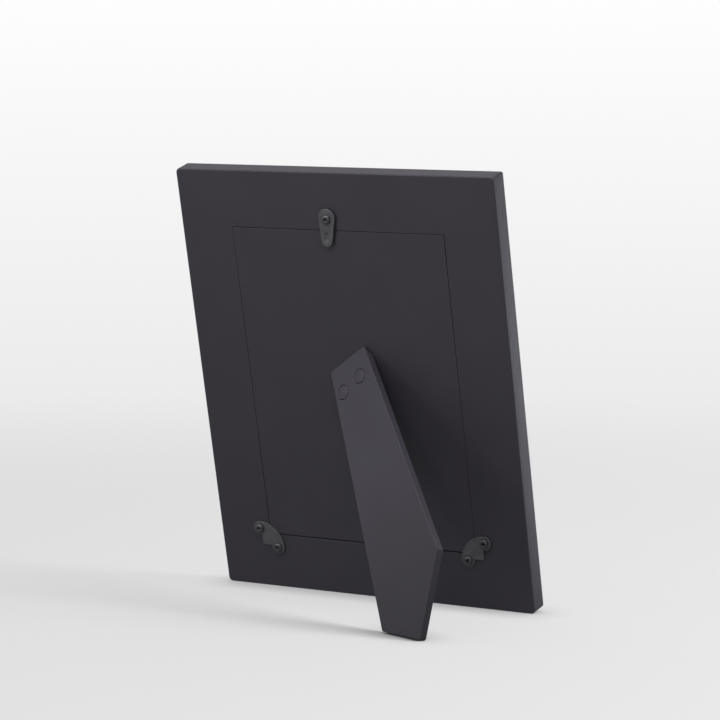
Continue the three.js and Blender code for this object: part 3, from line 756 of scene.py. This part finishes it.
def plate_outline(reach):
    """A round end about each screw, a wide arc over the panel and a square tab over the frame."""
    end = PLATE_END_RADIUS
    bulge = end + PLATE_BULGE
    # Radius and middle of the wide arc, which runs smoothly into both round ends
    wide = (reach**2 + bulge**2 - end**2) / (2 * PLATE_BULGE)
    wide_middle = bulge - wide
    touch = math.atan2(-wide_middle, reach)
    # Where the tab's straight sides meet the round ends
    notch = 5 * math.pi / 4 - math.asin(PLATE_WAIST / math.sqrt(2) / end)
    tab_middle = PLATE_TAB_RADIUS * math.sqrt(2) + PLATE_WAIST - reach
    tab = arc((0, tab_middle), PLATE_TAB_RADIUS, -3 * math.pi / 4, -math.pi / 4)
    right = arc((reach, 0), end, notch - 2 * math.pi, touch, 2 * ARC_STEPS)
    over = arc((0, wide_middle), wide, touch, math.pi - touch)
    left = arc((-reach, 0), end, math.pi - touch, 3 * math.pi - notch, 2 * ARC_STEPS)
    return tab + right + over[1:-1] + left


def corner_plate(side):
    """A pressed plate across a lower corner of the panel."""
    name = f"corner_plate_{side}"
    low, high = box_in(STANDING, name)
    screws = [screw_middle(f"{name}_screw_{end}") for end in ("upper", "lower")]
    left, right = sorted(screws, key=lambda middle: middle.x)
    along = (right - left).normalized()
    across = Vector((-along.y, along.x, 0))
    centre = (left + right) / 2
    turn = placed(along.to_3d(), across, Vector((0, 0, 1)), centre.to_3d())
    bm = bmesh.new()
    plate(bm, plate_outline((right - left).length / 2), low.z, high.z, PLATE_EASE)
    piece = mesh_object(f"pressed_plate_{side}", bm, STANDING @ turn)
    finish_piece(piece, "black_steel", "frame", name)


def groove_levels(surface, depth):
    """The levels of a pressed groove from its rounded floor up to a surface."""
    mouth = teardrop(GROOVE_RADIUS, GROOVE_RADIUS, GROOVE_DROP, GROOVE_DROP + GROOVE_LENGTH)
    levels = []
    for i in range(2 * EASE_STEPS + 1):
        share = i / (2 * EASE_STEPS)
        distance = GROOVE_SLOPE * GROOVE_RADIUS * (1 - share)
        levels.append((inset(mouth, distance), surface - depth * (1 + math.cos(math.pi * share)) / 2))
    return levels


def turn_button():
    """A pressed teardrop that hangs from its screw on a collar, with a groove that bulges underneath."""
    low, high = box_in(STANDING, "turn_button")
    pivot = STANDING.inverted() @ Vector(JOINTS["button_turn"]["pos_m"])
    under = high.z - BUTTON_THICKNESS
    outline = teardrop(BUTTON_RADIUS, BUTTON_TIP_RADIUS, -BUTTON_PIVOT, BUTTON_REACH - BUTTON_PIVOT)
    bm = bmesh.new()
    rings = skin(bm, eased_levels(lambda height: outline, under, high.z, BUTTON_EASE))
    groove = skin(bm, groove_levels(high.z, GROOVE_DEPTH))
    bm.faces.new(groove[0])
    bulge = skin(bm, groove_levels(under, GROOVE_DEPTH))
    bm.faces.new(bulge[0])
    fill(bm, rings[-1], groove[-1])
    fill(bm, rings[0], bulge[-1])
    turned(bm, [(COLLAR_RADIUS, low.z), (COLLAR_RADIUS, under + BUTTON_EASE)])
    place = STANDING @ Matrix.Translation((pivot.x, pivot.y, 0)) @ Matrix.Rotation(BUTTON_TILT, 4, "Z")
    finish_piece(mesh_object("pressed_button", bm, place), "black_steel", "button", "turn_button")


# Pieces of the leg and the hinge


def leg_corners():
    """The corners of the leg's outer face without its rounding, from the top left one, anticlockwise."""
    top = box_in(LEG, "easel_leg")[1].y
    frame_corner = box_in(STANDING, *RAILS)[1].x
    # Where the table under the rounded lower edge would cut the plane of the back
    rise = ARRIS_RADIUS * (BACK.y - BACK.z - 1) / BACK.y
    folded = HINGE.inverted() @ STANDING
    foot = (folded @ Vector((frame_corner, rise, 0))).xy
    foot_edge = (folded.to_3x3() @ Vector((1, 0, 0))).xy
    short_side = (folded.to_3x3() @ Vector((0, 1, 0))).xy
    top_left = Vector((LEG_MIDDLE - LEG_TOP_WIDTH / 2, top))
    top_right = Vector((LEG_MIDDLE + LEG_TOP_WIDTH / 2, top))
    left_side = Vector((-math.sin(LEG_FLARE), -math.cos(LEG_FLARE)))
    right_side = Vector((math.sin(LEG_FLARE), -math.cos(LEG_FLARE)))
    foot_left = meeting(top_left, left_side, foot, foot_edge)
    widest = meeting(top_right, right_side, foot, short_side)
    return top_left, foot_left, foot, widest, top_right


def rivet_seat(bm, side, face):
    """A sunk seat for a rivet's head. Gives back the ring where it meets the leg's face."""
    low, high = box_in(LEG, f"leg_rivet_{side}")
    middle = (low + high) / 2
    radius = RIVET_HEAD_RADIUS + RIVET_CLEARANCE
    seat = high.z - RIVET_HEAD_THICKNESS - SEAT_GAP
    profile = [(radius, seat)]
    profile += [(radius + distance, face - depth) for distance, depth in rounded_edge(RIVET_EASE)]
    rings = skin(bm, [(circle(middle.x, middle.y, reach), height) for reach, height in profile])
    bm.faces.new(rings[0])
    return rings[-1]


def easel_leg():
    """The leg, with its top end cut at 45 degrees and a sunk seat for each rivet."""
    low, high = box_in(LEG, "easel_leg")
    top_left, foot_left, foot, widest, top_right = leg_corners()

    def outline_at(height):
        drop = high.z - height
        widen = drop * math.tan(LEG_FLARE)
        left = top_left + Vector((-widen, -drop))
        right = top_right + Vector((widen, -drop))
        return rounded_corners([left, foot_left, foot, widest, right], LEG_CORNER_RADIUS)

    bm = bmesh.new()
    rings = skin(bm, eased_levels(outline_at, low.z, high.z, LEG_EASE))
    bm.faces.new(reversed(rings[0]))
    fill(bm, rings[-1], *[rivet_seat(bm, side, high.z) for side in SIDES])
    leg = mesh_object("stand_leg", bm, LEG)
    finish_piece(leg, "leg_paint", "leg", "easel_leg")
    return leg


def leg_rivet(side):
    """A rivet with a slightly domed head, painted over with the leg."""
    name = f"leg_rivet_{side}"
    low, high = box_in(LEG, name)
    middle = (low + high) / 2
    under = high.z - RIVET_HEAD_THICKNESS
    tail = low.z + RIVET_TAIL_THICKNESS
    profile = [
        (RIVET_TAIL_RADIUS, low.z),
        (RIVET_TAIL_RADIUS, tail),
        (RIVET_SHANK_RADIUS, tail),
        (RIVET_SHANK_RADIUS, under),
        (RIVET_HEAD_RADIUS, under),
    ]
    coated = RIVET_HEAD_RADIUS + RIVET_COAT
    profile += [(coated - distance, high.z - depth) for distance, depth in rounded_edge(RIVET_EASE)]
    for i in range(DOME_STEPS - 1, 0, -1):
        share = i / DOME_STEPS
        profile.append((RIVET_HEAD_RADIUS * share, high.z + RIVET_CROWN * (1 - share**2)))
    bm = bmesh.new()
    turned(bm, profile, middle.x, middle.y)
    finish_piece(mesh_object(f"rivet_cap_{side}", bm, LEG), "leg_paint_steel", "leg", name)


LEAF_START = box_in(HINGE, "hinge_leaf_on_panel")[0].x
LEAF_END = box_in(HINGE, "hinge_leaf_on_panel")[1].x


def knuckle_row(section, first):
    """Every second knuckle along the hinge, starting with the given one."""
    pitch = (LEAF_END - LEAF_START) / KNUCKLES
    bm = bmesh.new()
    for i in range(first, KNUCKLES, 2):
        left = LEAF_START + i * pitch + KNUCKLE_GAP / 2
        plate(bm, section, left, left + pitch - KNUCKLE_GAP, LEAF_EASE)
    bmesh.ops.transform(bm, matrix=ALONG_X, verts=bm.verts)
    return bm


def hinge_leaf(name, piece_name, first, matrix, body, flip):
    """A hinge leaf with its knuckles. A flipped one lies on the panel's side of the pin."""
    low, high = box_in(matrix, name)
    barrel = high.y
    under = barrel - LEAF_THICKNESS
    neck = -barrel - KNUCKLE_GAP
    bm = bmesh.new()
    outline = rectangle(Vector((LEAF_START, low.y)), Vector((LEAF_END, neck)), LEAF_CORNER_RADIUS)
    plate(bm, outline, under, barrel, LEAF_EASE)
    meets = math.asin(under / barrel)
    section = arc((0, 0), barrel, -math.pi - meets, math.pi / 2, 3 * ARC_STEPS)
    section += [Vector((neck - LEAF_CORNER_RADIUS, barrel)), Vector((neck - LEAF_CORNER_RADIUS, under))]
    join(bm, knuckle_row(section, first))
    if flip:
        bmesh.ops.scale(bm, vec=(1, 1, -1), verts=bm.verts)
    finish_piece(mesh_object(piece_name, bm, matrix), "bare_steel", body, name)


def hinge_pin():
    """A pin with a domed head at each end of the barrel."""
    low, high = box_in(HINGE, "hinge_pin")
    head = high.y
    dome = [(head - distance, depth) for distance, depth in rounded_edge(PIN_DOME)]
    profile = [(radius, low.x + depth) for radius, depth in reversed(dome)]
    profile += [(head, low.x + PIN_HEAD_THICKNESS), (PIN_RADIUS, low.x + PIN_HEAD_THICKNESS)]
    profile += [(PIN_RADIUS, high.x - PIN_HEAD_THICKNESS), (head, high.x - PIN_HEAD_THICKNESS)]
    profile += [(radius, high.x - depth) for radius, depth in dome]
    bm = bmesh.new()
    turned(bm, profile)
    bmesh.ops.transform(bm, matrix=ALONG_X, verts=bm.verts)
    finish_piece(mesh_object("pin_with_heads", bm, HINGE), "bare_steel", "frame", "hinge_pin")


# Studio


def studio_floor():
    """A round floor, as wide as it can be seen."""
    bm = bmesh.new()
    ring = [bm.verts.new((point.x, point.y, 0)) for point in circle(0, 0, FLOOR_FAR)]
    bm.faces.new(ring)
    floor = mesh_object("studio_floor", bm, Matrix.Identity(4))
    floor.data.materials.append(floor_material())
    return floor


def studio_world():
    """A pale backdrop that is lighter higher up, and a dimmer even light from all round."""
    world = bpy.data.worlds.new("studio")
    world.use_nodes = True
    bpy.context.scene.world = world
    tree = world.node_tree
    direction = node(tree, "TexCoord").outputs["Generated"]
    height = node(tree, "SeparateXYZ", {0: direction}).outputs["Z"]
    low = math.sin(BACKDROP_LOW_ANGLE)
    high = math.sin(BACKDROP_HIGH_ANGLE)
    backdrop = rescaled(tree, height, low, high, BACKDROP_LOW, BACKDROP_HIGH)
    seen = node(tree, "LightPath").outputs["Is Camera Ray"]
    strength = node(tree, "Mix", {0: seen, 2: AMBIENT, 3: backdrop}).outputs[0]
    feed(tree, tree.nodes["Background"].inputs["Strength"], strength)
    tree.nodes["Background"].inputs["Color"].default_value = shade(WHITE, 1.0)


def softbox(name, place, size, power, aim=LIGHT_AIM, beam=180, tint=WHITE):
    """A soft square light that isn't itself in the picture, aimed at a height over the object's middle."""
    light = bpy.data.lights.new(name, "AREA")
    light.size = size
    light.energy = power
    light.color = tint
    light.spread = math.radians(beam)
    lamp = bpy.data.objects.new(name, light)
    bpy.context.scene.collection.objects.link(lamp)
    lamp.location = place
    lamp.rotation_euler = (Vector((0, 0, aim)) - place).to_track_quat("-Z", "Y").to_euler()
    lamp.visible_camera = False
    return lamp


def group(name, thing):
    """A collection of one object, for what a light reaches, leaves out or is shaded by."""
    made = bpy.data.collections.new(name)
    made.objects.link(thing)
    return made


def studio_lights(floor, leg):
    """Soft lights. Most are kept off the floor, which has two of its own."""
    near = (CAMERA_PLACE - CAMERA_TARGET).to_2d().normalized().to_3d()
    right = Vector((0, 0, 1)).cross(near)

    def spot(across, nearer, up):
        """A place, in metres to the right of the object, towards the camera and above the floor."""
        return right * across + near * nearer + Vector((0, 0, up))

    softbox("behind_frame", spot(0, -1.2, 1.6), size=1.2, power=2.3)
    object_lights = [
        softbox("above_camera", spot(-0.2, 1.3, 1.9), size=1.2, power=15),
        softbox("above_right", spot(0.7, 0.5, 1.9), size=0.8, power=14.5),
        softbox("from_left", spot(-1.5, 0.9, 0.3), size=0.5, power=3.3),
        softbox("high_left", spot(-0.7, 0.7, 1.2), size=0.4, power=0.37, aim=0.25, beam=40),
        softbox("right_edge", spot(1.15, -1.05, 0.17), size=0.3, power=0.61, tint=COOL),
    ]
    edge_foot = spot(1.15, -1.05, 0.05)
    low_edge = softbox("low_right_edge", edge_foot, size=0.2, power=0.072, aim=0.02, beam=25, tint=COOL)
    object_lights.append(low_edge)
    off_floor = group("off_floor", floor)
    off_floor.collection_objects[0].light_linking.link_state = "EXCLUDE"
    for lamp in object_lights:
        lamp.light_linking.receiver_collection = off_floor
    floor_low = softbox("floor_low", spot(4.0, 1.2, 1.1), size=1.6, power=195)
    floor_high = softbox("floor_high", spot(3.6, 1.5, 2.7), size=1.6, power=470)
    only_floor = group("only_floor", floor)
    for lamp in (floor_low, floor_high):
        lamp.light_linking.receiver_collection = only_floor
    # Only the leg shades the higher one, which makes the leg's shadow darker than the frame's
    floor_high.light_linking.blocker_collection = group("only_leg", leg)


def photo_camera():
    """The camera at the photograph's viewing angle."""
    camera = bpy.data.cameras.new("photo_camera")
    camera.sensor_width = CAMERA_SENSOR
    camera.lens = CAMERA_LENS
    holder = bpy.data.objects.new("photo_camera", camera)
    bpy.context.scene.collection.objects.link(holder)
    looking = (CAMERA_TARGET - CAMERA_PLACE).to_track_quat("-Z", "Y").to_matrix().to_4x4()
    holder.matrix_world = Matrix.Translation(CAMERA_PLACE) @ looking @ Matrix.Rotation(CAMERA_ROLL, 4, "Z")
    bpy.context.scene.camera = holder


photo_camera()
finish_solids()
frame_ring()
panel_board()
for i, screw in enumerate(name for name in sorted(frame["nodes"]) if "screw" in name):
    screw_piece(screw, math.radians(i * RECESS_TURN))
for side in SIDES:
    corner_plate(side)
    leg_rivet(side)
turn_button()
leg = easel_leg()
hinge_leaf("hinge_leaf_on_panel", "panel_leaf", 0, HINGE, "frame", flip=True)
hinge_leaf("hinge_leaf_on_leg", "leg_leaf", 1, LEG, "leg", flip=False)
hinge_pin()
studio_lights(studio_floor(), leg)
studio_world()
bpy.context.scene.view_settings.view_transform = "Standard"
